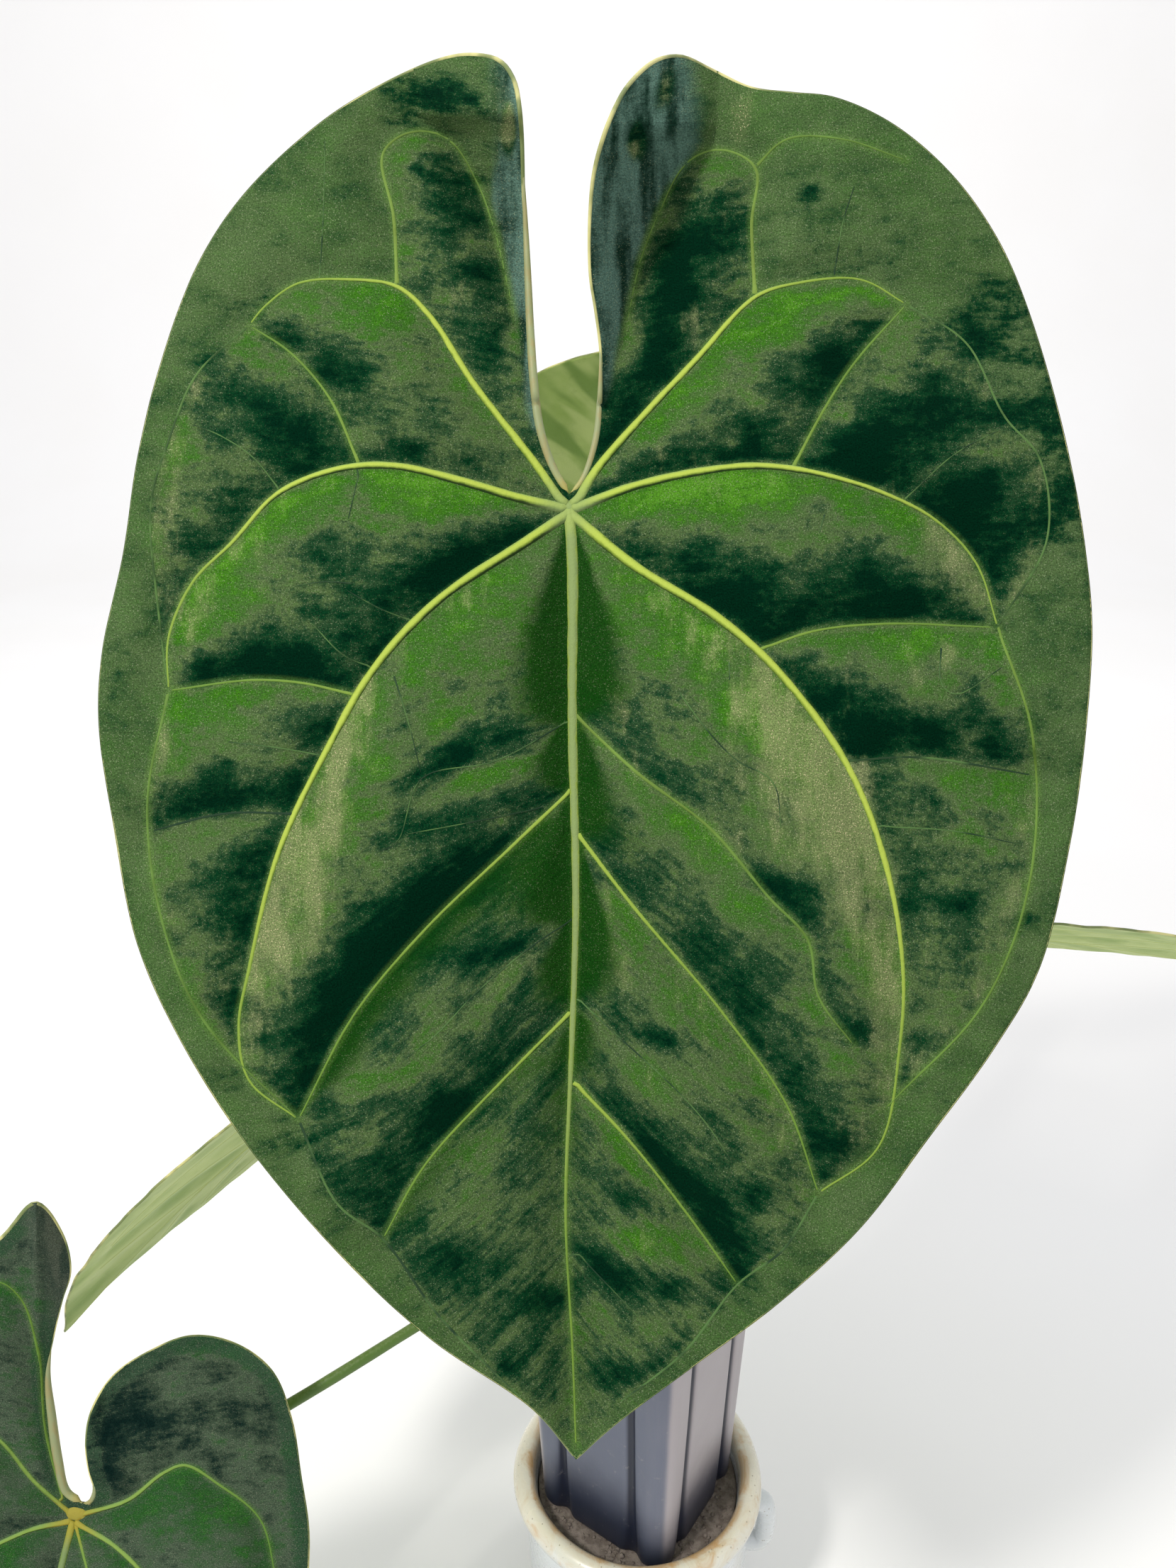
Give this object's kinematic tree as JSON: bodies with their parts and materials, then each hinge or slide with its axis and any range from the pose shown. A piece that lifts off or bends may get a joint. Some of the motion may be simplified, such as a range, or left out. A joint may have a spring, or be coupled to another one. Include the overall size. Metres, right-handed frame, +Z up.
{
  "type": "potted velvet-leaved anthurium",
  "caption": "Velvet heart-leaved anthurium in a tall plastic pot, standing on grit in a ceramic cover pot.",
  "frame": {"origin": "middle of the cover pot's foot, on the surface that it stands on", "axes": "+Z up along the pot's axis; the large front leaf faces -Y; +X is to its right as seen from the front"},
  "size_m": [0.5616, 0.367, 0.6864],
  "materials": {
    "ceramic": "satin glaze with fine speckle and rust stains on the lip",
    "grit": "dry matt grit",
    "plastic": "satin moulded plastic, scuffed pale on the corners",
    "potting_mix": "damp bark and fibre",
    "stem": "matt with leaf scars",
    "stalk": "satin",
    "velvet_leaf": "velvet, with pale green raised veins"
  },
  "bodies": {
    "root": {"cover_pot": "ceramic", "grit_bed": "grit", "plastic_pot": "plastic", "potting_mix": "potting_mix", "stem": "stem", "front_stalk": "stalk", "front_blade": "velvet_leaf", "low_stalk": "stalk", "low_blade": "velvet_leaf", "left_stalk": "stalk", "left_blade": "velvet_leaf", "right_stalk": "stalk", "right_blade": "velvet_leaf", "rear_stalk": "stalk", "rear_blade": "velvet_leaf"}
  },
  "joints": []
}
